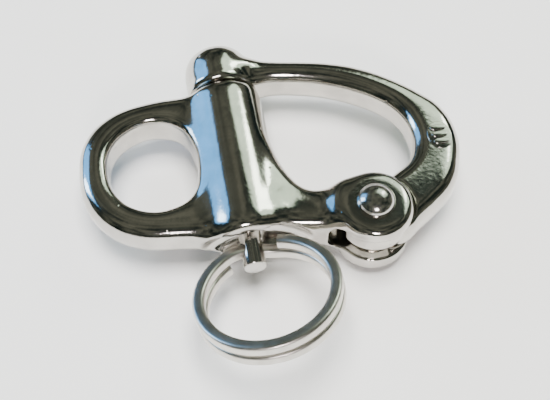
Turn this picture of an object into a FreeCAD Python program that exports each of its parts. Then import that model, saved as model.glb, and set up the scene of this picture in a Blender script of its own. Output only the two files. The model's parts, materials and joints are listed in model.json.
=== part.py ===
"""Fixed-eye snap shackle, 70 mm long, as six separate pieces.

Frame: origin at the centre of the fixed eye's hole, on the mid-plane. +X runs along the
shackle towards the bow's load end, +Y runs along the plunger towards the bow's free end,
and +Z is the thickness. The plunger is drawn back, so the bow is free to swing.
"""
import math
import os

import FreeCAD
import Part
import Sketcher

V = FreeCAD.Vector

SIZES = {
    # a length that cuts through any of the pieces
    "cut_through": 80.0,
    # fixed eye
    "eye_hole_half_width": 7.75,
    "eye_hole_half_flat": 1.45,
    "eye_outer_radius": 13.2,
    "eye_half_flat": 1.5,
    "eye_thickness": 7.0,
    # plunger barrel
    "barrel_x": 14.6,
    "barrel_radius": 6.7,
    "barrel_top_y": 14.7,
    "barrel_foot_y": -16.9,
    "tip_bore_radius": 3.55,
    "tip_bore_depth": 23.0,
    "stem_bore_radius": 2.05,
    # neck and fork
    "neck_top_x": 21.6,
    "neck_top_y": -2.3,
    "neck_corner_x": 28.6,
    "neck_corner_y": -9.3,
    "neck_top_radius": 7.0,
    "neck_foot_x": 25.11,
    "neck_foot_y": -17.8,
    "neck_foot_radius": 9.07,
    "hinge_x": 36.3,
    "hinge_y": -15.9,
    "lug_radius": 6.6,
    "lug_foot_x": 31.59,
    "lug_foot_y": -20.52,
    "lug_face": 6.0,
    "fork_thickness": 12.0,
    "saddle_x": 25.0,
    "saddle_floor": 4.5,
    "saddle_radius": 8.0,
    "slot_radius": 8.6,
    "slot_height": 6.2,
    # hinge rivet
    "hinge_bore_radius": 2.55,
    "rivet_radius": 2.5,
    "rivet_head_radius": 3.3,
    "rivet_head_height": 2.4,
    "rivet_dome_radius": 3.3,
    "rivet_flat_radius": 0.4,
    # swinging bow
    "bow_thickness": 7.8,
    "bow_half": 3.9,
    "bow_gap": 0.15,
    "knob_radius": 6.3,
    "knob_length": 9.5,
    "socket_depth": 4.0,
    "arm_root_x": 17.0,
    "arm_outer_y": 20.6,
    "arm_inner_y": 15.25,
    "shoulder_x": 40.5,
    "shoulder_y": 15.2,
    "shoulder_radius": 60.0,
    "crown_x": 55.0,
    "crown_y": -2.3,
    "crown_upper_radius": 24.0,
    "heel_x": 51.5,
    "heel_y": -12.8,
    "crown_lower_radius": 16.0,
    "toe_x": 41.55,
    "toe_y": -20.8,
    "arm_bend_x": 39.5,
    "arm_bend_y": 9.45,
    "arm_bend_radius": 50.0,
    "throat_x": 46.3,
    "throat_y": -1.3,
    "throat_upper_radius": 14.0,
    "chin_x": 43.0,
    "chin_y": -8.0,
    "throat_lower_radius": 10.0,
    "collar_radius": 7.0,
    "tang_radius": 6.2,
    "tang_half": 3.0,
    # raised plate on the bow, in place of a grade mark
    "plate_x": 51.0,
    "plate_y": -3.4,
    "plate_half_width": 1.8,
    "plate_half_length": 2.7,
    "plate_root": 0.5,
    "plate_rise": 0.25,
    # plunger and its spring
    "tip_radius": 3.5,
    "tip_length": 8.0,
    "tip_end_y": 14.6,
    "tip_chamfer": 0.6,
    "stem_radius": 2.0,
    "stem_end_y": -21.6,
    "stem_chamfer": 0.3,
    "ring_seat_y": -18.3,
    "cross_hole_radius": 1.36,
    "cross_hole_tilt": -14.6,
    "spring_mean_radius": 2.78,
    "spring_wire_radius": 0.42,
    "spring_turns": 6.5,
    "spring_end_gap": 0.05,
    # split ring
    "ring_mean_radius": 11.4,
    "ring_wire_radius": 1.1,
    "ring_layer_offset": 1.15,
    "ring_gap_angle": 24.0,
    "ring_cross_angle": 22.0,
    "ring_lift_angle": 19.5,
    "notch_radius": 14.5,
    "notch_floor_y": -14.0,
    "notch_height": 10.6,
}

doc = FreeCAD.newDocument("snap_shackle")
sheet = doc.addObject("Spreadsheet::Sheet", "sizes")


def fill_sheet():
    """One row per driving dimension: its name, then its value, which carries the alias."""
    for row, (name, value) in enumerate(SIZES.items(), start=1):
        sheet.set(f"A{row}", name)
        sheet.set(f"B{row}", str(value))
        sheet.setAlias(f"B{row}", name)
    doc.recompute()


# A rule is a sum of sheet names and numbers, such as "hinge_x + lug_radius".


def value_of(rule):
    """The rule's value, worked out from the sheet."""
    total = 0.0
    sign = 1.0
    for word in rule.split():
        if word in "+-":
            sign = 1.0 if word == "+" else -1.0
        else:
            total += sign * (float(sheet.get(word)) if word[0].isalpha() else float(word))
    return total


def bound_to(rule, unit="mm"):
    """The rule as an expression on the sheet, in millimetres or degrees."""
    words = ["sizes." + word if word[0].isalpha() else word for word in rule.split()]
    return "(" + " ".join(words) + f") * 1 {unit}"


def new_body(name):
    body = doc.addObject("PartDesign::Body", name)
    body.Label = name
    return body


def new_sketch(body, name, plane, offset="0"):
    """A sketch on one of the body's own origin planes, moved along the plane's normal."""
    sketch = body.newObject("Sketcher::SketchObject", name)
    origin_plane = next(item for item in body.Origin.OriginFeatures if item.Role == plane)
    sketch.AttachmentSupport = [(origin_plane, "")]
    sketch.MapMode = "FlatFace"
    sketch.setExpression("AttachmentOffset.Base.z", bound_to(offset))
    return sketch


def bind_point(sketch, curve, end, x_rule, y_rule):
    """Hold one point of a curve at the place given by two rules."""
    for kind, rule in (("DistanceX", x_rule), ("DistanceY", y_rule)):
        row = sketch.addConstraint(Sketcher.Constraint(kind, -1, 1, curve, end, value_of(rule)))
        sketch.setExpression(f"Constraints[{row}]", bound_to(rule))


def bind_radius(sketch, curve, rule):
    row = sketch.addConstraint(Sketcher.Constraint("Radius", curve, value_of(rule)))
    sketch.setExpression(f"Constraints[{row}]", bound_to(rule))


def arc_centre(start, end, radius):
    """Centre of the short arc from start to end, which turns left for a positive radius."""
    chord = end - start
    rise = math.sqrt(max(radius ** 2 - chord.Length ** 2 / 4, 0.0))
    left = V(-chord.y, chord.x, 0).normalize()
    return start + chord * 0.5 + left * math.copysign(rise, radius)


def draw_outline(sketch, corners):
    """Closed outline through corners, each an x rule, a y rule and a bend.

    The bend says how the outline leaves its corner: None is a straight line, and a radius
    rule is an arc that turns left, or right with "right" before the rule.
    """
    points = [V(value_of(x_rule), value_of(y_rule), 0) for x_rule, y_rule, _ in corners]
    pieces = []
    for index, (x_rule, y_rule, bend) in enumerate(corners):
        start = points[index]
        end = points[(index + 1) % len(points)]
        if bend is None:
            pieces.append((sketch.addGeometry(Part.LineSegment(start, end)), 1, 2))
            continue
        turns_right = bend.startswith("right ")
        radius = value_of(bend.removeprefix("right "))
        centre = arc_centre(start, end, -radius if turns_right else radius)
        first, last = (end, start) if turns_right else (start, end)
        circle = Part.Circle(centre, V(0, 0, 1), radius)
        arc = Part.ArcOfCircle(circle, bearing(centre, first), bearing(centre, last))
        pieces.append((sketch.addGeometry(arc), 2 if turns_right else 1, 1 if turns_right else 2))
    for index, (curve, _, tail) in enumerate(pieces):
        next_curve, next_head, _ = pieces[(index + 1) % len(pieces)]
        sketch.addConstraint(Sketcher.Constraint("Coincident", curve, tail, next_curve, next_head))
    for (curve, head, _), (x_rule, y_rule, bend) in zip(pieces, corners):
        bind_point(sketch, curve, head, x_rule, y_rule)
        if bend is not None:
            bind_radius(sketch, curve, bend.removeprefix("right "))


def bearing(centre, point):
    return math.atan2(point.y - centre.y, point.x - centre.x)


def draw_circle(sketch, x_rule, y_rule, radius_rule):
    centre = V(value_of(x_rule), value_of(y_rule), 0)
    curve = sketch.addGeometry(Part.Circle(centre, V(0, 0, 1), value_of(radius_rule)))
    bind_point(sketch, curve, 3, x_rule, y_rule)
    bind_radius(sketch, curve, radius_rule)


def add_feature(body, kind, name, sketch, length, side="Symmetric", reverse=False, second=None):
    """A pad or pocket of a sketch, with its length bound to the sheet and its effect tested."""
    before = body.Shape.Volume if body.Tip else 0.0
    feature = body.newObject(f"PartDesign::{kind}", name)
    feature.Profile = sketch
    feature.SideType = side
    feature.Reversed = reverse
    feature.setExpression("Length", bound_to(length))
    if second:
        feature.setExpression("Length2", bound_to(second))
    doc.recompute()
    grown = feature.Shape.Volume - before
    if (grown <= 0) == (kind == "Pad"):
        raise RuntimeError(f"{name} changed nothing: {grown:.3f} mm3")
    return feature


def stadium(half_width, half_flat):
    """Corners of a slot-shaped outline along Y, centred on the origin."""
    tip = f"{half_flat} + {half_width}"
    low_tip = f"- {half_flat} - {half_width}"
    return [
        (half_width, half_flat, half_width),
        ("0", tip, half_width),
        (f"- {half_width}", half_flat, None),
        (f"- {half_width}", f"- {half_flat}", half_width),
        ("0", low_tip, half_width),
        (half_width, f"- {half_flat}", None),
    ]


def make_body_casting():
    """Fixed eye, plunger barrel, neck and the fork's two lugs, cast in one piece."""
    body = new_body("body_casting")
    make_fork(body)
    make_eye(body)
    make_barrel(body)
    cut_tang_slot(body)
    cut_plunger_bore(body)


def make_fork(body):
    outline = new_sketch(body, "fork_outline", "XY_Plane")
    draw_outline(outline, [
        ("barrel_x", "neck_top_y", None),
        ("neck_top_x", "neck_top_y", "neck_top_radius"),
        ("neck_corner_x", "neck_corner_y", None),
        ("hinge_x", "hinge_y + lug_radius", "right lug_radius"),
        ("hinge_x + lug_radius", "hinge_y", "right lug_radius"),
        ("hinge_x", "hinge_y - lug_radius", "right lug_radius"),
        ("lug_foot_x", "lug_foot_y", "neck_foot_radius"),
        ("neck_foot_x", "neck_foot_y", None),
        ("barrel_x", "barrel_foot_y", None),
    ])
    add_feature(body, "Pad", "fork_pad", outline, "fork_thickness")
    saddle = new_sketch(body, "neck_saddle", "XZ_Plane")
    draw_circle(saddle, "saddle_x", "saddle_floor + saddle_radius", "saddle_radius")
    draw_circle(saddle, "saddle_x", "- saddle_floor - saddle_radius", "saddle_radius")
    add_feature(body, "Pocket", "neck_thinning", saddle, "cut_through")


def make_eye(body):
    """The eye's ring, with shoulders that run straight into the barrel's ends."""
    outline = new_sketch(body, "eye_outline", "XY_Plane")
    draw_outline(outline, [
        ("barrel_x", "barrel_top_y", None),
        ("0", "eye_half_flat + eye_outer_radius", "eye_outer_radius"),
        ("- eye_outer_radius", "eye_half_flat", None),
        ("- eye_outer_radius", "- eye_half_flat", "eye_outer_radius"),
        ("0", "- eye_half_flat - eye_outer_radius", None),
        ("barrel_x", "barrel_foot_y", None),
    ])
    add_feature(body, "Pad", "eye_pad", outline, "eye_thickness")
    hole = new_sketch(body, "eye_hole_outline", "XY_Plane")
    draw_outline(hole, stadium("eye_hole_half_width", "eye_hole_half_flat"))
    add_feature(body, "Pocket", "eye_hole", hole, "cut_through")


def make_barrel(body):
    """The round barrel that houses the plunger, along Y."""
    outline = new_sketch(body, "barrel_outline", "XZ_Plane")
    draw_circle(outline, "barrel_x", "0", "barrel_radius")
    add_feature(body, "Pad", "barrel_pad", outline, "- barrel_foot_y", "Two sides", False, "barrel_top_y")


def cut_tang_slot(body):
    """The slot between the lugs, round about the hinge, and the rivet's hole."""
    slot = new_sketch(body, "tang_slot_outline", "XY_Plane")
    draw_circle(slot, "hinge_x", "hinge_y", "slot_radius")
    add_feature(body, "Pocket", "tang_slot", slot, "slot_height")
    hole = new_sketch(body, "hinge_hole_outline", "XY_Plane")
    draw_circle(hole, "hinge_x", "hinge_y", "hinge_bore_radius")
    add_feature(body, "Pocket", "hinge_hole", hole, "cut_through")


def cut_plunger_bore(body):
    """Wide bore for tip and spring, narrow bore for the stem, and the ring's notch."""
    tip = new_sketch(body, "tip_bore_outline", "XZ_Plane", "- barrel_top_y")
    draw_circle(tip, "barrel_x", "0", "tip_bore_radius")
    add_feature(body, "Pocket", "tip_bore", tip, "tip_bore_depth", "One side", True)
    stem = new_sketch(body, "stem_bore_outline", "XZ_Plane")
    draw_circle(stem, "barrel_x", "0", "stem_bore_radius")
    add_feature(body, "Pocket", "stem_bore", stem, "cut_through")
    notch = new_sketch(body, "ring_notch_outline", "XY_Plane")
    draw_circle(notch, "barrel_x", "notch_floor_y - notch_radius", "notch_radius")
    add_feature(body, "Pocket", "ring_notch", notch, "notch_height")


def make_bow():
    """The swinging bow: a socketed knob, a flat-sided arm and a thinner hinge tang."""
    body = new_body("bow")
    outline = new_sketch(body, "bow_outline", "XY_Plane")
    draw_outline(outline, [
        ("arm_root_x", "arm_outer_y", "right shoulder_radius"),
        ("shoulder_x", "shoulder_y", "right crown_upper_radius"),
        ("crown_x", "crown_y", "right crown_lower_radius"),
        ("heel_x", "heel_y", None),
        ("toe_x", "toe_y", None),
        ("hinge_x", "hinge_y - tang_radius", "right tang_radius"),
        ("hinge_x - tang_radius", "hinge_y", "right tang_radius"),
        ("hinge_x", "hinge_y + tang_radius", None),
        ("chin_x", "chin_y", "throat_lower_radius"),
        ("throat_x", "throat_y", "throat_upper_radius"),
        ("arm_bend_x", "arm_bend_y", "arm_bend_radius"),
        ("arm_root_x", "arm_inner_y", None),
    ])
    add_feature(body, "Pad", "bow_pad", outline, "bow_thickness")
    make_knob(body)
    cut_tang(body)
    make_plate(body)


def make_knob(body):
    knob = new_sketch(body, "knob_outline", "XZ_Plane", "- barrel_top_y - bow_gap")
    draw_circle(knob, "barrel_x", "0", "knob_radius")
    add_feature(body, "Pad", "knob_pad", knob, "knob_length", "One side", True)
    socket = new_sketch(body, "socket_outline", "XZ_Plane", "- barrel_top_y - bow_gap")
    draw_circle(socket, "barrel_x", "0", "tip_bore_radius")
    add_feature(body, "Pocket", "socket", socket, "socket_depth", "One side", False)


def cut_tang(body):
    """Thin the hinge end to fit between the lugs, and bore it for the rivet."""
    for name, side, reverse in (("upper", "tang_half", True), ("lower", "- tang_half", False)):
        collar = new_sketch(body, f"{name}_collar_outline", "XY_Plane", side)
        draw_circle(collar, "hinge_x", "hinge_y", "collar_radius")
        add_feature(body, "Pocket", f"{name}_collar", collar, "fork_thickness", "One side", reverse)
    bore = new_sketch(body, "tang_bore_outline", "XY_Plane")
    draw_circle(bore, "hinge_x", "hinge_y", "hinge_bore_radius")
    add_feature(body, "Pocket", "tang_bore", bore, "fork_thickness")


def make_plate(body):
    """A plain raised plate on the bow's upper face."""
    outline = new_sketch(body, "plate_outline", "XY_Plane", "bow_half - plate_root")
    left, right = "plate_x - plate_half_width", "plate_x + plate_half_width"
    low, high = "plate_y - plate_half_length", "plate_y + plate_half_length"
    draw_outline(outline, [(left, low, None), (right, low, None), (right, high, None), (left, high, None)])
    add_feature(body, "Pad", "plate_pad", outline, "plate_root + plate_rise", "One side")


def make_hinge_rivet():
    """A shank through both lugs and the tang, with a domed head on each outer face."""
    body = new_body("hinge_rivet")
    profile = new_sketch(body, "rivet_profile", "XZ_Plane")
    draw_outline(profile, [
        ("0", "- lug_face - rivet_head_height", None),
        ("rivet_flat_radius", "- lug_face - rivet_head_height", "rivet_dome_radius"),
        ("rivet_head_radius", "- lug_face", None),
        ("rivet_radius", "- lug_face", None),
        ("rivet_radius", "lug_face", None),
        ("rivet_head_radius", "lug_face", "rivet_dome_radius"),
        ("rivet_flat_radius", "lug_face + rivet_head_height", None),
        ("0", "lug_face + rivet_head_height", None),
    ])
    turn(body, "rivet_turned", profile, "V_Axis")
    body.setExpression("Placement.Base.x", bound_to("hinge_x"))
    body.setExpression("Placement.Base.y", bound_to("hinge_y"))


def turn(body, name, profile, axis):
    """A full revolution of a profile about one of its sketch's axes."""
    turned = body.newObject("PartDesign::Revolution", name)
    turned.Profile = profile
    turned.ReferenceAxis = (profile, [axis])
    turned.Angle = 360
    doc.recompute()


def make_plunger_pin():
    """The locking tip and its stem, turned about Y, with the ring's hole across the stem."""
    body = new_body("plunger_pin")
    profile = new_sketch(body, "plunger_profile", "XY_Plane")
    draw_outline(profile, [
        ("0", "stem_end_y", None),
        ("stem_radius - stem_chamfer", "stem_end_y", None),
        ("stem_radius", "stem_end_y + stem_chamfer", None),
        ("stem_radius", "tip_end_y - tip_length", None),
        ("tip_radius", "tip_end_y - tip_length", None),
        ("tip_radius", "tip_end_y - tip_chamfer", None),
        ("tip_radius - tip_chamfer", "tip_end_y", None),
        ("0", "tip_end_y", None),
    ])
    turn(body, "plunger_turned", profile, "V_Axis")
    hole = new_sketch(body, "cross_hole_outline", "YZ_Plane")
    draw_circle(hole, "ring_seat_y", "0", "cross_hole_radius")
    add_feature(body, "Pocket", "cross_hole", hole, "tip_length")
    tilt = FreeCAD.Rotation(V(0, 1, 0), -value_of("cross_hole_tilt"))
    body.Placement = FreeCAD.Placement(V(value_of("barrel_x"), 0, 0), tilt)


def sweep_wire(path, start, direction, radius):
    """Round wire of a given radius along a path."""
    section = Part.Wire(Part.makeCircle(radius, start, direction))
    return path.makePipeShell([section], True, True)


def make_plunger_spring():
    """Coil spring round the stem, from the barrel's blind end to the tip's shoulder."""
    wire = value_of("spring_wire_radius")
    mean = value_of("spring_mean_radius")
    low = value_of("barrel_top_y - tip_bore_depth + spring_wire_radius + spring_end_gap")
    high = value_of("tip_end_y - tip_length - spring_wire_radius - spring_end_gap")
    rise = high - low
    helix = Part.Wire(Part.makeHelix(rise / value_of("spring_turns"), rise, mean))
    coil = sweep_wire(helix, V(mean, 0, 0), V(0, 1, 0), wire)
    along_y = FreeCAD.Rotation(V(1, 0, 0), -90)
    spring = doc.addObject("Part::Feature", "plunger_spring")
    spring.Label = "plunger_spring"
    spring.Shape = coil
    spring.Placement = FreeCAD.Placement(V(value_of("barrel_x"), low, 0), along_y)


def make_split_ring():
    """Two turns of wire that change layer once, inside the plunger's cross-hole.

    Drawn flat with the cross-hole at the origin and the ring's centre on -Y, then tilted
    until the wire lies along the cross-hole, and lifted about it.
    """
    upper = add_ring_layer("upper_layer", "ring_cross_angle", "ring_layer_offset")
    lower = add_ring_layer("lower_layer", "ring_gap_angle", "- ring_layer_offset")
    crossing = doc.addObject("Part::Feature", "layer_crossing")
    crossing.Shape = cross_between_layers()
    ring = doc.addObject("Part::MultiFuse", "split_ring")
    ring.Label = "split_ring"
    ring.Shapes = [upper, crossing, lower]
    doc.recompute()
    ring.Placement = ring_placement()


def add_ring_layer(name, first_angle, height):
    """One nearly full turn of wire, from an angle just left of the cross-hole."""
    layer = doc.addObject("Part::Torus", name)
    layer.setExpression("Radius1", bound_to("ring_mean_radius"))
    layer.setExpression("Radius2", bound_to("ring_wire_radius"))
    layer.setExpression("Angle3", bound_to("360 - ring_gap_angle - ring_cross_angle", "deg"))
    first = FreeCAD.Rotation(V(0, 0, 1), 90 + value_of(first_angle))
    layer.Placement = FreeCAD.Placement(V(0, -value_of("ring_mean_radius"), value_of(height)), first)
    return layer


def cross_between_layers():
    """The short S-shaped stretch of wire between the two layers."""
    radius = value_of("ring_mean_radius")
    offset = value_of("ring_layer_offset")
    cross = math.radians(value_of("ring_cross_angle"))
    steps = 4
    points = []
    for step in range(steps + 1):
        share = step / steps
        angle = cross * (2 * share - 1)
        height = offset * math.cos(math.pi * share)
        points.append(V(radius * math.sin(angle), radius * (math.cos(angle) - 1), height))
    start_heading = V(math.cos(cross), math.sin(cross), 0)
    end_heading = V(math.cos(cross), -math.sin(cross), 0)
    path = Part.BSplineCurve()
    path.interpolate(Points=points, InitialTangent=start_heading, FinalTangent=end_heading)
    wire = value_of("ring_wire_radius")
    return sweep_wire(Part.Wire(path.toShape()), points[0], start_heading, wire)


def ring_placement():
    """Where the ring hangs: its wire lies along the tilted cross-hole, and its front is lifted."""
    hole_tilt = value_of("cross_hole_tilt")
    crossing_length = 2 * math.radians(value_of("ring_cross_angle")) * value_of("ring_mean_radius")
    wire_slope = math.degrees(math.atan(math.pi * value_of("ring_layer_offset") / crossing_length))
    hole_axis = V(math.cos(math.radians(hole_tilt)), 0, math.sin(math.radians(hole_tilt)))
    lift = FreeCAD.Rotation(hole_axis, -value_of("ring_lift_angle"))
    tilt = FreeCAD.Rotation(V(0, 1, 0), -(hole_tilt + wire_slope))
    place = V(value_of("barrel_x"), value_of("ring_seat_y"), 0)
    return FreeCAD.Placement(place, lift.multiply(tilt))


def check_and_write():
    """Refuse a failed or missing shape, then write one file per sub-part."""
    doc.recompute()
    failed = [item.Name for item in doc.Objects if {"Invalid", "Error"} & set(item.State)]
    if failed:
        raise RuntimeError("failed objects: " + ", ".join(failed))
    os.makedirs("parts", exist_ok=True)
    for name in ("body_casting", "bow", "hinge_rivet", "plunger_pin", "plunger_spring", "split_ring"):
        item = doc.getObjectsByLabel(name)[0]
        if item.Shape.isNull() or not item.Shape.isValid() or len(item.Shape.Solids) != 1:
            raise RuntimeError(f"{name} is not one valid solid")
        item.Shape.exportStep(f"parts/{name}.step")
        box = item.Shape.BoundBox
        print(f"{name}: {item.Shape.Volume:.1f} mm3, x {box.XMin:.2f}..{box.XMax:.2f}, "
              f"y {box.YMin:.2f}..{box.YMax:.2f}, z {box.ZMin:.2f}..{box.ZMax:.2f}")


fill_sheet()
make_body_casting()
make_bow()
make_hinge_rivet()
make_plunger_pin()
make_plunger_spring()
make_split_ring()
check_and_write()
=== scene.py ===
# %% [markdown]
# # A fixed-eye snap shackle
#
# This small stainless fitting joins a rope or a sail to something else. A fixed eye, a plunger
# barrel and a fork are one casting. A bow swings on a domed rivet between the fork's lugs, and a
# spring plunger with a split ring locks its free end. The lesson models each cast, turned or bent
# piece the way it would be made in a workshop, then polishes it.

# %% Load the working model
import json
import math
import bpy
from mathutils import Matrix, Vector


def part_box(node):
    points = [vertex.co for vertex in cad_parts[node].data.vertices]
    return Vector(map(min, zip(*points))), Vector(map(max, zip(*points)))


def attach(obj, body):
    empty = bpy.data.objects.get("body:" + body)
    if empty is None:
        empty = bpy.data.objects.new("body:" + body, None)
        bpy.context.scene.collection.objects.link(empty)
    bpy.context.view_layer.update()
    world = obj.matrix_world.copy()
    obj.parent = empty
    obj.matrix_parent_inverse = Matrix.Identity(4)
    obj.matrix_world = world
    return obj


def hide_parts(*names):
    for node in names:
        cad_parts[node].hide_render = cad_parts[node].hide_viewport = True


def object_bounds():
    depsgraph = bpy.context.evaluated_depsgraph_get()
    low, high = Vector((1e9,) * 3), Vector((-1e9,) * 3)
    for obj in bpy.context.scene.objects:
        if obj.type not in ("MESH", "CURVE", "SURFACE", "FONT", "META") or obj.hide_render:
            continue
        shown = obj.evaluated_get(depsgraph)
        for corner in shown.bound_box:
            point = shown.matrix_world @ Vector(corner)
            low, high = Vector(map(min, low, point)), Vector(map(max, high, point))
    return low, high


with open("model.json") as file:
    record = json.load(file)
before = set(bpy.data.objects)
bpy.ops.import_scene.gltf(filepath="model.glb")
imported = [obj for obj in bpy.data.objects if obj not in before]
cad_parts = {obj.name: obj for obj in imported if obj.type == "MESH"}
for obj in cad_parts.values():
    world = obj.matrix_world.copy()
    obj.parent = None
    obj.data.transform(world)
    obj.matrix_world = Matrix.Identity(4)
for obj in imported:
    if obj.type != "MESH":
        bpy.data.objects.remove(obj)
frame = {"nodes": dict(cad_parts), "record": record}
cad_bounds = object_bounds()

MM = 0.001
print("overall size in mm:", [round((high - low) / MM, 1) for low, high in zip(*cad_bounds)])

# %% [markdown]
# ## Where everything goes
#
# The moving model already knows its pivots and how far each piece reaches, so the places below
# come from it. The barrel's axis runs along Y, and the hinge and the eye's hole are upright.
# Lengths are in millimetres until they reach Blender, which counts in metres.

# %% Read the pivots and the casting's reach
joints = {joint["name"]: joint for joint in frame["record"]["behaviour"]["joints"]}
hinge = Vector(joints["bow_swing"]["pos_m"]) / MM
cross_hole = Vector(joints["ring_swing"]["pos_m"]) / MM
cross_hole_axis = Vector(joints["ring_swing"]["axis"])
plunger_stroke = joints["plunger_lock"]["range_m"][1] / MM
casting_high = Vector(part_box("body_casting")[1]) / MM

barrel_x = cross_hole.x
barrel_mouth = casting_high.y
barrel_foot = -16.9
lug_radius = casting_high.x - hinge.x
lug_face = 6.0
print("hinge at", tuple(round(value, 2) for value in hinge), "barrel axis at x", round(barrel_x, 2))

# %% [markdown]
# ## One piece on the bench at a time
#
# Blender's operators act on everything that is selected, and loading the model leaves all of it
# selected. So each helper first puts a single piece on the bench. `settle` writes the piece's
# place into its mesh, because a finished piece stands at the origin, unturned and unscaled.

# %% Bench helpers
def only(piece):
    """Make one piece the only selected and active one."""
    bpy.ops.object.select_all(action="DESELECT")
    piece.select_set(True)
    bpy.context.view_layer.objects.active = piece


def settle(piece, name):
    """Write the piece's place into its mesh and name it."""
    only(piece)
    bpy.ops.object.transform_apply(location=True, rotation=True, scale=True)
    piece.name = name
    piece.data.name = name
    return piece


def apply_modifier(piece, kind, **settings):
    """Add a modifier with these settings and apply it at once."""
    only(piece)
    modifier = piece.modifiers.new(kind.lower(), kind)
    for key, value in settings.items():
        setattr(modifier, key, value)
    bpy.ops.object.modifier_apply(modifier=modifier.name)


def close_skin(merge_distance=0.0):
    """Merge doubled points of the active mesh and turn its faces outwards."""
    bpy.ops.object.mode_set(mode="EDIT")
    bpy.ops.mesh.select_all(action="SELECT")
    if merge_distance:
        bpy.ops.mesh.remove_doubles(threshold=merge_distance)
    bpy.ops.mesh.normals_make_consistent(inside=False)
    bpy.ops.object.mode_set(mode="OBJECT")


def report(piece):
    """Print how large a piece is and how fine its mesh is."""
    size = [round(value / MM, 1) for value in piece.dimensions]
    print(piece.name, "is", size, "mm with", len(piece.data.polygons), "faces")


# %% [markdown]
# ## The flat parts of the pattern
#
# A foundry pattern is cut from sheet and then rubbed round by hand. A cube with bevelled edges
# could stand for a plate, but the eye and the neck have free outlines. So `plate` draws the
# outline as a smooth Bezier curve, gives it thickness, and rounds both rims with the curve's own
# bevel. The outline is drawn inwards by the rim's radius, so the bevel brings it out to size.

# %% Cutting a plate
def plate(name, outline, half_height, rim, middle=0.0):
    """A flat piece with rounded rims, from a smooth closed outline."""
    curve = bpy.data.curves.new(name, "CURVE")
    curve.dimensions = "2D"
    curve.fill_mode = "BOTH"
    spline = curve.splines.new("BEZIER")
    spline.bezier_points.add(len(outline) - 1)
    for point, (x, y) in zip(spline.bezier_points, outline):
        point.co = (x * MM, y * MM, 0)
        point.handle_left_type = point.handle_right_type = "AUTO"
    spline.use_cyclic_u = True
    spline.resolution_u = 10
    curve.extrude = (half_height - rim) * MM
    curve.bevel_depth = rim * MM
    curve.offset = -rim * MM
    curve.bevel_resolution = 5
    piece = bpy.data.objects.new(name, curve)
    bpy.context.collection.objects.link(piece)
    piece.location.z = middle * MM
    only(piece)
    bpy.ops.object.convert(target="MESH")
    close_skin(merge_distance=0.002 * MM)
    return settle(bpy.context.object, name)


# %% Eye plate
eye_outline = [
    (16.0, 13.6), (8.0, 14.6), (0.0, 14.5), (-6.9, 12.6), (-11.6, 7.9), (-13.1, 1.4),
    (-12.5, -5.0), (-9.3, -10.5), (-4.0, -13.9), (2.5, -15.1), (9.0, -15.8), (16.0, -16.2),
]
eye_plate = plate("eye_plate", eye_outline, half_height=3.7, rim=2.6)
report(eye_plate)

# %% Neck and the root of the lugs
neck_outline = [
    (14.6, 6.0), (20.2, 4.5), (21.6, 0.0), (22.5, -3.4), (24.0, -7.0),
    (25.8, -9.3), (28.4, -10.0), (32.0, -9.5), (37.0, -16.0), (33.6, -20.6),
    (29.4, -18.9), (25.0, -17.7), (19.5, -17.0), (14.6, -16.6),
]
lug_root_outline = [
    (28.5, -16.6), (28.9, -12.6), (30.3, -10.2), (33.2, -9.4), (36.6, -9.3),
    (38.0, -16.0), (35.8, -22.3), (32.6, -20.6), (29.6, -18.4),
]
neck = plate("neck", neck_outline, half_height=4.5, rim=2.4)
lug_root = plate("lug_root", lug_root_outline, half_height=5.95, rim=1.7)
report(neck)
report(lug_root)

# %% [markdown]
# ## The round parts of the pattern
#
# The barrel is a turned shape. A plain cylinder would need its ends and swellings added later, so
# `turned` works as a lathe does: it starts with a disc and pulls it along the axis, widening or
# narrowing it at each station. A station is a distance along the axis and a radius there. The
# real barrel is a little lower than it is wide, which `flatten` gives.

# %% The lathe
LATHE_SIDES = 96
QUARTER_TURN = math.pi / 2
AXIS_TURNS = {"X": (0, QUARTER_TURN, 0), "Y": (-QUARTER_TURN, 0, 0), "Z": (0, 0, 0)}


def turned(name, stations, place, axis="Z", flatten=1.0):
    """A turned piece: stations are (distance along the axis, radius).

    flatten lowers the piece, or narrows it across Y when it lies along X.
    """
    bpy.ops.object.select_all(action="DESELECT")
    start, radius = stations[0]
    bpy.ops.mesh.primitive_circle_add(vertices=LATHE_SIDES, radius=radius * MM,
                                      fill_type="NGON", location=(0, 0, start * MM))
    piece = bpy.context.object
    bpy.ops.object.transform_apply(location=True, rotation=False, scale=False)
    bpy.ops.object.mode_set(mode="EDIT")
    bpy.ops.mesh.select_all(action="SELECT")
    for (from_place, from_radius), (to_place, to_radius) in zip(stations, stations[1:]):
        step = (to_place - from_place) * MM
        bpy.ops.mesh.extrude_region_move(TRANSFORM_OT_translate={"value": (0, 0, step)})
        ratio = to_radius / from_radius
        bpy.ops.transform.resize(value=(ratio, ratio, 1), center_override=(0, 0, to_place * MM))
    bpy.ops.object.mode_set(mode="OBJECT")
    close_skin()
    piece.rotation_euler = AXIS_TURNS[axis]
    bpy.ops.object.transform_apply(location=False, rotation=True, scale=False)
    piece.scale = (1, flatten, 1) if axis == "X" else (1, 1, flatten)
    piece.location = Vector(place) * MM
    return settle(piece, name)


# %% Barrel
barrel_stations = [
    (barrel_foot, 5.9), (barrel_foot + 0.3, 6.5), (barrel_foot + 0.9, 6.9),
    (barrel_foot + 1.8, 7.05), (barrel_mouth - 0.8, 7.05), (barrel_mouth - 0.25, 6.9),
    (barrel_mouth, 6.5),
]
barrel = turned("barrel", barrel_stations, (barrel_x, 0, 0), "Y", flatten=0.9)
report(barrel)

# %% [markdown]
# ## The slopes beside the barrel
#
# On the casting the metal slides down from the barrel to the eye on one side and to the neck on
# the other. Smoothing alone can't fill so much, so each slope gets a low turned swelling of its
# own that the skin is later drawn over.

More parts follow.
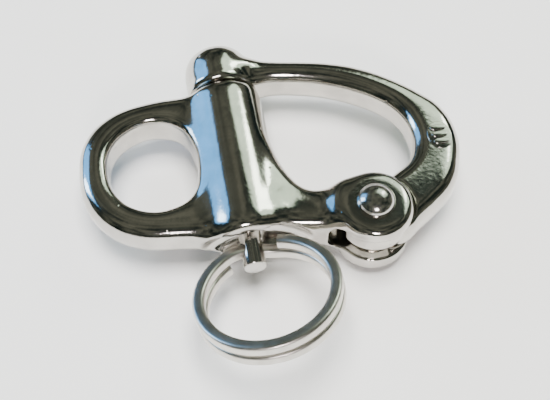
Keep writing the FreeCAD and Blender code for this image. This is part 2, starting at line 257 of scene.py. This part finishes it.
# %% Slopes
eye_ramp_stations = [
    (barrel_foot + 0.2, 5.0), (barrel_foot + 1.2, 7.0), (barrel_foot + 3.4, 8.5), (0.0, 8.7),
    (9.0, 8.2), (barrel_mouth - 1.5, 7.5), (barrel_mouth - 0.3, 6.4),
]
neck_ramp_stations = [(-16.4, 4.6), (-14.8, 6.4), (-11.0, 6.3), (-7.0, 5.0), (-3.0, 3.0)]
eye_ramp_x = barrel_x - 2.2
neck_ramp_x = 19.2
eye_ramp = turned("eye_ramp", eye_ramp_stations, (eye_ramp_x, 0, 0), "Y", flatten=0.56)
neck_ramp = turned("neck_ramp", neck_ramp_stations, (neck_ramp_x, 0, 0), "Y", flatten=0.82)
report(eye_ramp)
report(neck_ramp)

# %% [markdown]
# ## Casting the body
#
# The real eye, barrel and neck leave the mould as one piece with generous fillets. Bevels on a
# union of solids fail where a round barrel meets a flat eye. So the solids overlap freely, and a
# voxel remesh draws one fine skin over them. Rounds of smoothing then relax the skin until every
# inside corner is a soft fillet.

# %% One skin over many parts
def join(name, parts):
    """Put several parts into one piece."""
    bpy.ops.object.select_all(action="DESELECT")
    for part in parts:
        part.select_set(True)
    bpy.context.view_layer.objects.active = parts[0]
    if len(parts) > 1:
        bpy.ops.object.join()
    piece = bpy.context.object
    piece.name = name
    return piece


def fuse(name, parts, grain, rounds):
    """Draw one skin of even grain over overlapping parts, then soften it by rounds."""
    piece = join(name, parts)
    apply_modifier(piece, "REMESH", mode="VOXEL", voxel_size=grain * MM, adaptivity=0.0)
    if rounds:
        apply_modifier(piece, "SMOOTH", factor=0.5, iterations=rounds)
    return piece


casting_parts = [eye_plate, barrel, eye_ramp, neck, neck_ramp, lug_root]
casting = fuse("cast_body", casting_parts, grain=0.4, rounds=0)
report(casting)

# %% [markdown]
# ## The eye's hole
#
# A rope passes through the eye, so its hole has the same soft rims as the outside. It is cut
# before the softening, with a cutter of its own outline, and one pass then rounds everything.

# %% Cut the hole and soften the casting
def cut(piece, tool):
    """Remove the tool's shape from the piece, and put the tool away."""
    apply_modifier(piece, "BOOLEAN", operation="DIFFERENCE", object=tool, solver="EXACT")
    bpy.data.objects.remove(tool, do_unlink=True)


hole_outline = [
    (-7.8, 0.0), (-6.8, 5.1), (-3.0, 8.5), (1.8, 9.2), (5.7, 7.3), (7.5, 3.0),
    (7.7, -2.5), (6.3, -6.9), (2.2, -9.1), (-2.8, -8.5), (-6.6, -5.0),
]
cut(casting, plate("eye_cutter", hole_outline, half_height=12.0, rim=0.01))
casting = fuse("cast_body", [casting], grain=0.4, rounds=60)
report(casting)

# %% [markdown]
# ## The fork's lugs
#
# The lugs carry the rivet. They are round with flat faces, and a fork keeps those faces crisp
# because the rivet's head and the bow's tang bear on them. So the lugs are turned, and they join
# the casting after its heavy softening, with only a light one of their own.

# %% Fork lugs
lug_stations = [
    (-lug_face - 0.5, lug_radius - 0.5), (-lug_face - 0.2, lug_radius),
    (lug_face - 1.3, lug_radius), (lug_face - 0.5, lug_radius - 0.4),
    (lug_face - 0.1, lug_radius - 1.1), (lug_face, lug_radius - 1.6),
]
lugs = turned("lugs", lug_stations, (hinge.x, hinge.y, 0))
casting = fuse("cast_body", [casting, lugs], grain=0.28, rounds=14)
report(casting)

# %% [markdown]
# ## The ring's path
#
# The pull ring has to nest against the barrel's foot. Its wire makes two layers that cross inside
# the plunger, so the ring leans over a little. The groove for it is the path of its own wire with
# the plunger locked, swollen by the room that the swing needs.

# %% Measure the ring's path
ring_radius = 11.4
layer_rise = 1.15
cross_angle = 22.0
groove_radius = 3.6

wire_slope = math.atan(layer_rise * math.pi / 2 / (math.radians(cross_angle) * ring_radius))
hole_tilt = math.atan2(cross_hole_axis.z, cross_hole_axis.x)
ring_tilt = -(hole_tilt + wire_slope)
locked_ring = cross_hole + Vector((0, plunger_stroke - ring_radius, 0))
print("ring tilted by", round(math.degrees(ring_tilt), 1), "degrees")

# %% [markdown]
# ## Machining the casting
#
# The slot for the bow's tang, the ring's groove and the bores are cut after the fillets are made,
# so they stay true. A torus is the natural cutter for the groove: it leaves a small arch over the
# plunger and fades out on both sides, where a flat-roofed pocket would leave sharp lips.

# %% Tang slot
slot_radius = 8.6
slot_outline = []
for angle in range(0, 360, 30):
    slot_x = hinge.x + slot_radius * math.cos(math.radians(angle))
    slot_y = hinge.y + slot_radius * math.sin(math.radians(angle))
    slot_outline.append((slot_x, slot_y))
cut(casting, plate("tang_slot", slot_outline, half_height=3.1, rim=1.5))
report(casting)

# %% Ring groove
bpy.ops.object.select_all(action="DESELECT")
bpy.ops.mesh.primitive_torus_add(
    major_segments=120, minor_segments=40, major_radius=ring_radius * MM,
    minor_radius=groove_radius * MM, location=locked_ring * MM, rotation=(0, ring_tilt, 0))
cut(casting, settle(bpy.context.object, "groove_cutter"))
report(casting)

# %% [markdown]
# ## Bores
#
# The plunger needs two bores on one axis, a narrow one for its stem and a wide one for its
# locking tip, and the rivet needs a third. A last, finer skin and a few rounds of softening break
# every edge, as tumbling and polishing do.

# %% Drill the casting
stem_bore = 2.25
tip_bore = 3.6
rivet_bore = 2.6


def drill(piece, place, radius, length, axis="Z"):
    """A straight round hole of a given length, centred on a place."""
    half = length / 2
    cut(piece, turned("drill", [(-half, radius), (half, radius)], place, axis))


drill(casting, (barrel_x, -12.0, 0), stem_bore, length=16.0, axis="Y")
drill(casting, (barrel_x, barrel_mouth - 11.0, 0), tip_bore, length=24.0, axis="Y")
drill(casting, hinge, rivet_bore, length=30.0)
casting = fuse("cast_body", [casting], grain=0.25, rounds=10)
report(casting)
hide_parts("body_casting")
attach(casting, "frame")

# %% [markdown]
# ## The swinging bow
#
# The bow is a second casting: a flat-sided hook that swells into a round knob at its free end.
# The hook could be a bent bar, but its width changes all the way round, so it is a plate with
# rounded rims. The knob is turned, and a short cone blends the arm into it.

# %% Bow: the hook
hook_outline = [
    (17.5, 21.6), (21.0, 20.6), (25.5, 19.45), (30.5, 18.45), (35.5, 17.2), (40.5, 15.2),
    (45.5, 11.95), (50.5, 7.45), (53.5, 3.7), (54.9, -2.3), (53.75, -8.3), (51.5, -12.8),
    (47.5, -16.3), (44.5, -18.3), (41.3, -20.5), (38.0, -20.5), (36.5, -16.0), (38.0, -11.0),
    (41.2, -9.0), (44.5, -6.8), (46.0, -4.0), (46.3, 0.2), (45.0, 4.2), (42.5, 7.2),
    (39.5, 9.45), (34.5, 12.2), (29.5, 13.9), (24.5, 14.9), (17.5, 15.4),
]
hook = plate("hook", hook_outline, half_height=3.95, rim=2.5)
report(hook)

# %% Bow: the knob and the arm's root
knob_seat = barrel_mouth + 0.15
knob_stations = [
    (0.0, 6.0), (0.25, 6.3), (0.8, 6.35), (1.3, 6.2), (2.2, 6.2), (4.2, 6.3),
    (6.4, 6.1), (7.9, 5.4), (8.9, 4.2), (9.4, 2.4),
]
root_stations = [(13.0, 5.9), (17.5, 5.6), (20.0, 4.8), (22.0, 3.8), (24.0, 2.4)]
knob = turned("knob", knob_stations, (barrel_x, knob_seat, 0), "Y")
arm_y = 18.5
arm_root = turned("arm_root", root_stations, (0, arm_y, 0), "X", flatten=0.66)
bow = fuse("cast_bow", [hook, knob, arm_root], grain=0.35, rounds=36)
report(bow)

# %% [markdown]
# ## The bow's tang
#
# The bow is thinner where it runs between the lugs. On the real part a mill faces both sides
# round the hinge, so two wide drills do the same here. A turned tang with a bevelled lower edge
# then fills the middle, and the bow gets its rivet bore and the socket that the plunger locks.

# %% Thin the hinge end and drill the bow
collar_radius = 7.0
collar_height = 8.0
for side in (1, -1):
    drill(bow, (hinge.x, hinge.y, side * collar_height), collar_radius, length=10.0)
tang_stations = [(-3.0, 3.4), (-2.4, 4.4), (-0.9, 5.8), (0.1, 6.2), (2.7, 6.2), (3.0, 5.9)]
tang = turned("tang", tang_stations, hinge)
bow = fuse("cast_bow", [bow, tang], grain=0.25, rounds=5)
drill(bow, hinge, rivet_bore, length=20.0)
drill(bow, (barrel_x, knob_seat, 0), tip_bore, length=8.0, axis="Y")
report(bow)
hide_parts("bow")
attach(bow, "bow")

# %% [markdown]
# ## The raised plate on the bow
#
# Rigging fittings carry a small cast plate near the load end. This one is plain, with three
# generic bars. Cubes would have hard corners that no casting has, so the plate is a thin slab
# with rounded rims, and each bar is a slimmer one that stands on it.

# %% Raised plate
plate_centre = Vector((51.0, -3.4))
bar_spacing = 1.45


def pad(name, centre, width, length, bottom, top, rim):
    """A small rounded rectangle standing on a face."""
    across, along = width / 2, length / 2
    corner = min(across, along) * 0.45
    outline = []
    for side_x, side_y in ((1, 1), (-1, 1), (-1, -1), (1, -1)):
        ends = [(across, along - corner), (across - corner, along)]
        if side_x * side_y < 0:
            ends.reverse()
        outline += [(centre.x + side_x * x, centre.y + side_y * y) for x, y in ends]
    return plate(name, outline, (top - bottom) / 2, rim, (top + bottom) / 2)


badge_parts = [
    pad("badge_base", plate_centre, width=3.5, length=5.3, bottom=3.5, top=4.08, rim=0.12),
]
for row in (-1, 0, 1):
    bar_centre = plate_centre + Vector((0.0, bar_spacing * row))
    bar = pad("badge_bar", bar_centre, width=2.7, length=0.85, bottom=3.9, top=4.38, rim=0.14)
    badge_parts.append(bar)
badge = join("raised_plate", badge_parts)
report(badge)
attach(badge, "bow")

# %% [markdown]
# ## The hinge rivet
#
# The rivet is a bar that was hammered into a dome at each end. A ball on a cylinder would show a
# crease, so both domes and the shank are stations of a single turned piece.

# %% Hinge rivet
rivet_low, rivet_high = (Vector(corner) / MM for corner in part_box("hinge_rivet"))
shank_radius = 2.5
head_height = rivet_high.z - lug_face
head_radius = (rivet_high.x - rivet_low.x) / 2
dome = []
for angle in range(0, 90, 10):
    rise = head_height * math.sin(math.radians(angle))
    dome.append((rise, head_radius * math.cos(math.radians(angle))))
rivet_stations = [(-lug_face - rise, radius) for rise, radius in reversed(dome)]
rivet_stations += [(-lug_face, shank_radius), (lug_face, shank_radius)]
rivet_stations += [(lug_face + rise, radius) for rise, radius in dome]
rivet = turned("domed_rivet", rivet_stations, hinge)
report(rivet)
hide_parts("hinge_rivet")
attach(rivet, "frame")

# %% [markdown]
# ## The plunger
#
# The plunger is turned from bar: a slim stem, and a thicker tip that enters the bow's socket. Its
# outer end has a small chamfer. The cross-hole for the ring is drilled at a slant, along the wire
# as it changes from one layer to the other.

# %% Plunger pin
pin_low, pin_high = (Vector(corner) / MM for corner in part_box("plunger_pin"))
stem_radius = 2.0
tip_radius = (pin_high.x - pin_low.x) / 2
tip_foot = pin_high.y - 8.0
cross_hole_radius = 1.36
pin_stations = [
    (pin_low.y, stem_radius - 0.3), (pin_low.y + 0.08, stem_radius - 0.12),
    (pin_low.y + 0.3, stem_radius), (tip_foot, stem_radius), (tip_foot, tip_radius),
    (pin_high.y - 0.6, tip_radius), (pin_high.y - 0.15, tip_radius - 0.25),
    (pin_high.y, tip_radius - 0.7),
]
pin = turned("plunger", pin_stations, (barrel_x, 0, 0), "Y")
drill_reach = 4.0
drill_stations = [(-drill_reach, cross_hole_radius), (drill_reach, cross_hole_radius)]
cross_drill = turned("cross_drill", drill_stations, (0, 0, 0))
along_hole = cross_hole_axis.to_track_quat("Z", "Y").to_matrix().to_4x4()
cross_drill.matrix_world = Matrix.Translation(cross_hole * MM) @ along_hole
cut(pin, settle(cross_drill, "cross_drill"))
report(pin)
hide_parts("plunger_pin")
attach(pin, "plunger")

# %% [markdown]
# ## The wire of the split ring
#
# The ring is nearly square wire with worn corners. Its section is a small square whose corners
# are bevelled. Between the two turns the wire drops from the upper layer to the lower one on a
# soft wave, and the wave's middle lies in the plunger.

# %% Wire section and its drop
wire_width = 2.06
wire_corner = 0.6


def wire_section():
    """The wire's end face, upright and facing along X."""
    bpy.ops.object.select_all(action="DESELECT")
    bpy.ops.mesh.primitive_plane_add(size=wire_width * MM, rotation=(0, QUARTER_TURN, 0))
    section = settle(bpy.context.object, "wire_section")
    bpy.ops.object.mode_set(mode="EDIT")
    bpy.ops.mesh.select_all(action="SELECT")
    bpy.ops.mesh.bevel(offset=wire_corner * MM, segments=5, affect="VERTICES")
    bpy.ops.object.mode_set(mode="OBJECT")
    return section


def layer_height(angle):
    """Height of the wire above the ring's middle, for an angle counted from the cross-hole."""
    if abs(angle) >= cross_angle:
        return -math.copysign(layer_rise, angle)
    return -layer_rise * math.sin(math.pi / 2 * angle / cross_angle)


print("wire drops from", layer_height(-cross_angle), "to", layer_height(cross_angle), "mm")

# %% [markdown]
# ## Winding the ring
#
# A winding machine pulls wire round a mandrel. A Screw modifier could coil it too, but it moves
# along its axis evenly all the way, and a split ring lies flat except at its crossing. So the
# section is pulled round in small steps, and each step changes its height as the wave does there.

# %% Wind the ring
gap_angle = 24.0
first_angle = gap_angle - 360.0
last_angle = 360.0 - gap_angle
winding_steps = 224


def wind_ring():
    """Pull the wire round two turns, with the cross-hole at the origin."""
    centre = Vector((0, -ring_radius * MM, 0))
    back_to_start = Matrix.Rotation(-math.radians(first_angle), 4, "Z")
    around_centre = Matrix.Translation(centre) @ back_to_start @ Matrix.Translation(-centre)
    first_height = Matrix.Translation((0, 0, layer_height(first_angle) * MM))
    wound = wire_section()
    wound.data.transform(first_height @ around_centre)
    step_angle = (last_angle - first_angle) / winding_steps
    bpy.ops.object.mode_set(mode="EDIT")
    bpy.ops.mesh.select_all(action="SELECT")
    for step in range(winding_steps):
        angle = first_angle + step_angle * step
        change = (layer_height(angle + step_angle) - layer_height(angle)) * MM
        bpy.ops.mesh.extrude_region_move(TRANSFORM_OT_translate={"value": (0, 0, change)})
        bpy.ops.transform.rotate(value=math.radians(step_angle), orient_axis="Z",
                                 center_override=centre)
    bpy.ops.object.mode_set(mode="OBJECT")
    close_skin()
    return wound


ring = wind_ring()
report(ring)

# %% [markdown]
# ## Hanging the ring
#
# The ring leans with its crossing wire, and it is lifted a little about the cross-hole, which is
# how the working model holds it at rest. Both turns are made about the cross-hole, so the wire
# stays in it.

# %% Hang the ring in the plunger
ring_lift = math.radians(19.5)
tilt = Matrix.Rotation(ring_tilt, 4, "Y")
lift = Matrix.Rotation(-ring_lift, 4, cross_hole_axis)
ring.matrix_world = Matrix.Translation(cross_hole * MM) @ lift @ tilt
settle(ring, "pull_ring")
report(ring)
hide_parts("split_ring")
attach(ring, "ring")

# %% [markdown]
# ## Finishes
#
# All the metal is stainless steel, polished until it mirrors the room. A perfect mirror would
# look like glass, so each finish gets what polishing leaves behind: clouds of slightly darker
# metal, patches that are a little duller, a slow waviness and a fine orange-peel grain. Castings
# also keep small pits. The patterns read Object coordinates, so they stay on the metal when a
# piece moves.

# %% Pattern helpers
def noise(tree, scale, detail):
    """A cloudy pattern fixed to the piece."""
    place = tree.nodes.new("ShaderNodeTexCoord")
    clouds = tree.nodes.new("ShaderNodeTexNoise")
    clouds.inputs["Scale"].default_value = scale
    clouds.inputs["Detail"].default_value = detail
    tree.links.new(place.outputs["Object"], clouds.inputs["Vector"])
    return clouds.outputs["Fac"]


def ramp(tree, source, stops):
    """Turn a grey pattern into colours: stops are (position, colour)."""
    colours = tree.nodes.new("ShaderNodeValToRGB")
    for element, (position, colour) in zip(colours.color_ramp.elements, stops):
        element.position = position
        element.color = (*colour, 1.0)
    tree.links.new(source, colours.inputs["Fac"])
    return colours.outputs["Color"]


def pit_pattern(tree):
    """Small dark dots, one in each cell of a Voronoi pattern."""
    place = tree.nodes.new("ShaderNodeTexCoord")
    cells = tree.nodes.new("ShaderNodeTexVoronoi")
    cells.inputs["Scale"].default_value = 330.0
    tree.links.new(place.outputs["Object"], cells.inputs["Vector"])
    black, white = (0, 0, 0), (1, 1, 1)
    return ramp(tree, cells.outputs["Distance"], [(0.03, black), (0.09, white)])


# %% [markdown]
# ## Steel
#
# One recipe serves three finishes. The tone and the roughness set how bright and how sharp the
# mirror is. The relief is a chain of Bump nodes, each of which adds its layer to the last.

# %% Steel recipe
relief_depth = 0.3 * MM
pit_strength = 0.25
cloud_shade = 0.82
least_dull, most_dull = 0.7, 1.6


def steel(name, tone, roughness, wave=0.12, peel=0.05, pits=False):
    """Polished stainless: a metallic surface with waviness, fine grain and optional pits."""
    material = bpy.data.materials.new(name)
    material.use_nodes = True
    tree = material.node_tree
    shader = tree.nodes["Principled BSDF"]
    shader.inputs["Metallic"].default_value = 1.0

    dark_tone = tuple(value * cloud_shade for value in tone)
    clouds = ramp(tree, noise(tree, scale=220.0, detail=3.0), [(0.35, dark_tone), (0.65, tone)])
    tree.links.new(clouds, shader.inputs["Base Color"])

    dullness = tree.nodes.new("ShaderNodeMapRange")
    dullness.inputs["To Min"].default_value = roughness * least_dull
    dullness.inputs["To Max"].default_value = roughness * most_dull
    tree.links.new(noise(tree, scale=900.0, detail=6.0), dullness.inputs["Value"])
    tree.links.new(dullness.outputs["Result"], shader.inputs["Roughness"])

    layers = [(noise(tree, scale=260.0, detail=2.0), wave),
              (noise(tree, scale=1700.0, detail=4.0), peel)]
    if pits:
        layers.append((pit_pattern(tree), pit_strength))
    surface = None
    for source, strength in layers:
        bump = tree.nodes.new("ShaderNodeBump")
        bump.inputs["Strength"].default_value = strength
        bump.inputs["Distance"].default_value = relief_depth
        tree.links.new(source, bump.inputs["Height"])
        if surface:
            tree.links.new(surface, bump.inputs["Normal"])
        surface = bump.outputs["Normal"]
    tree.links.new(surface, shader.inputs["Normal"])
    return material


cast_steel = steel("polished_casting", tone=(0.60, 0.575, 0.53), roughness=0.10, pits=True)
bar_steel = steel("polished_bar", tone=(0.62, 0.60, 0.56), roughness=0.16)
wire_steel = steel("drawn_wire", tone=(0.72, 0.69, 0.63), roughness=0.30, wave=0.10)
print("finishes:", cast_steel.name, bar_steel.name, wire_steel.name)

# %% [markdown]
# ## Dressing the pieces
#
# The castings take the pitted polish, the turned pieces a plainer one, and the wire a satin one
# that is less of a mirror. Shading is smooth except at edges that turn by more than 40 degrees.
# The spring keeps its own mesh and only changes its finish.

# %% Dress the pieces
crisp_edge = math.radians(40)


def dress(piece, material):
    """Give a piece its finish and smooth shading."""
    piece.data.materials.clear()
    piece.data.materials.append(material)
    only(piece)
    bpy.ops.object.shade_smooth_by_angle(angle=crisp_edge)


for piece, finish in ((casting, cast_steel), (bow, cast_steel), (badge, cast_steel),
                      (rivet, bar_steel), (pin, bar_steel), (ring, wire_steel)):
    dress(piece, finish)
    print(piece.name, "is dressed in", finish.name)
spring = frame["nodes"]["plunger_spring"]
spring.data.materials.clear()
spring.data.materials.append(wire_steel)

# %% [markdown]
# ## Table
#
# A polished part shows its surroundings more than itself. The pale table is one of them: it fills
# every side wall of the shackle with light from below, so it is wide and plain.

# %% Table
bpy.ops.object.select_all(action="DESELECT")
bpy.ops.mesh.primitive_plane_add(size=3.0, location=(0, 0, cad_bounds[0][2]))
table = bpy.context.object
table.name = "table"
table_finish = bpy.data.materials.new("pale_table")
table_finish.use_nodes = True
table_shader = table_finish.node_tree.nodes["Principled BSDF"]
table_shader.inputs["Base Color"].default_value = (0.93, 0.925, 0.91, 1.0)
table_shader.inputs["Roughness"].default_value = 0.7
table.data.materials.append(table_finish)
print("table at height", round(table.location.z / MM, 2), "mm")

# %% [markdown]
# ## Windows and lamps
#
# Two soft windows, a blue one on the left and a greenish one on the right, draw the long bright
# streaks down the barrel. Each has a narrow brighter core, because a single even light gives a
# flat streak. The ceiling lamp lights the table, but it is kept out of the mirror, so the flat
# tops stay dark.

# %% Windows and lamps
middle = Vector((20.25, -9.05, 0.0)) * MM


def window(name, bearing, height_angle, distance, size, power, colour):
    """A soft rectangular light that faces the shackle, placed by bearing and height angle."""
    level = math.cos(math.radians(height_angle))
    away = Vector((math.sin(math.radians(bearing)) * level,
                   math.cos(math.radians(bearing)) * level,
                   math.sin(math.radians(height_angle))))
    bpy.ops.object.light_add(type="AREA", location=middle + away * distance)
    light = bpy.context.object
    light.name = name
    light.rotation_euler = away.to_track_quat("Z", "Y").to_euler()
    light.data.shape = "RECTANGLE"
    light.data.size, light.data.size_y = size
    light.data.energy = power
    light.data.color = colour
    return light


window("left_window", bearing=-55.0, height_angle=24.0, distance=0.8, size=(0.5, 0.5),
       power=2.2, colour=(0.12, 0.45, 1.0))
window("right_window", bearing=46.0, height_angle=42.0, distance=0.9, size=(0.56, 0.42),
       power=1.5, colour=(0.80, 1.0, 0.80))
window("left_core", bearing=-63.0, height_angle=22.0, distance=0.78, size=(0.16, 0.34),
       power=1.3, colour=(0.70, 0.86, 1.0))
window("right_core", bearing=48.0, height_angle=40.0, distance=0.88, size=(0.12, 0.30),
       power=0.9, colour=(0.93, 1.0, 0.90))
window("front_lamp", bearing=186.0, height_angle=36.0, distance=0.8, size=(0.14, 0.14),
       power=3.0, colour=(1.0, 0.92, 0.94))
ceiling = window("ceiling_lamp", bearing=0.0, height_angle=88.0, distance=1.0, size=(0.5, 0.5),
                 power=24.0, colour=(1.0, 0.98, 0.95))
ceiling.visible_glossy = False

# %% [markdown]
# ## Room
#
# Above the table the room is dark and uneven, which gives the flat tops their depth. A plain grey
# world would make them look painted, so a slow noise fades between near black and a dull olive.

# %% Room
near_black = (0.010, 0.020, 0.019)
dull_olive = (0.20, 0.205, 0.16)

room = bpy.data.worlds.new("room")
bpy.context.scene.world = room
room.use_nodes = True
room_nodes, room_links = room.node_tree.nodes, room.node_tree.links
around = room_nodes.new("ShaderNodeTexCoord")
blots = room_nodes.new("ShaderNodeTexNoise")
blots.inputs["Scale"].default_value = 3.4
blots.inputs["Detail"].default_value = 4.0
room_links.new(around.outputs["Generated"], blots.inputs["Vector"])
shades = ramp(room.node_tree, blots.outputs["Fac"], [(0.38, near_black), (0.68, dull_olive)])
room_links.new(shades, room_nodes["Background"].inputs["Color"])
print("room fades from", near_black, "to", dull_olive)

# %% [markdown]
# ## Camera
#
# The camera looks down steeply, a little from the left of the fitting's long side, and close
# enough that the near edge looks larger than the far one.

# %% Camera
view_bearing = math.radians(-10.5)
view_height = math.radians(59.0)
view_distance = 180.0
back = Vector((math.sin(view_bearing) * math.cos(view_height),
               -math.cos(view_bearing) * math.cos(view_height),
               math.sin(view_height)))
bpy.ops.object.camera_add(location=middle + back * view_distance * MM)
camera = bpy.context.object
camera.rotation_euler = back.to_track_quat("Z", "Y").to_euler()
camera.data.angle = math.radians(30.0)
camera.data.clip_start = 1 * MM
bpy.context.scene.camera = camera
print("camera at", [round(value / MM) for value in camera.location], "mm")
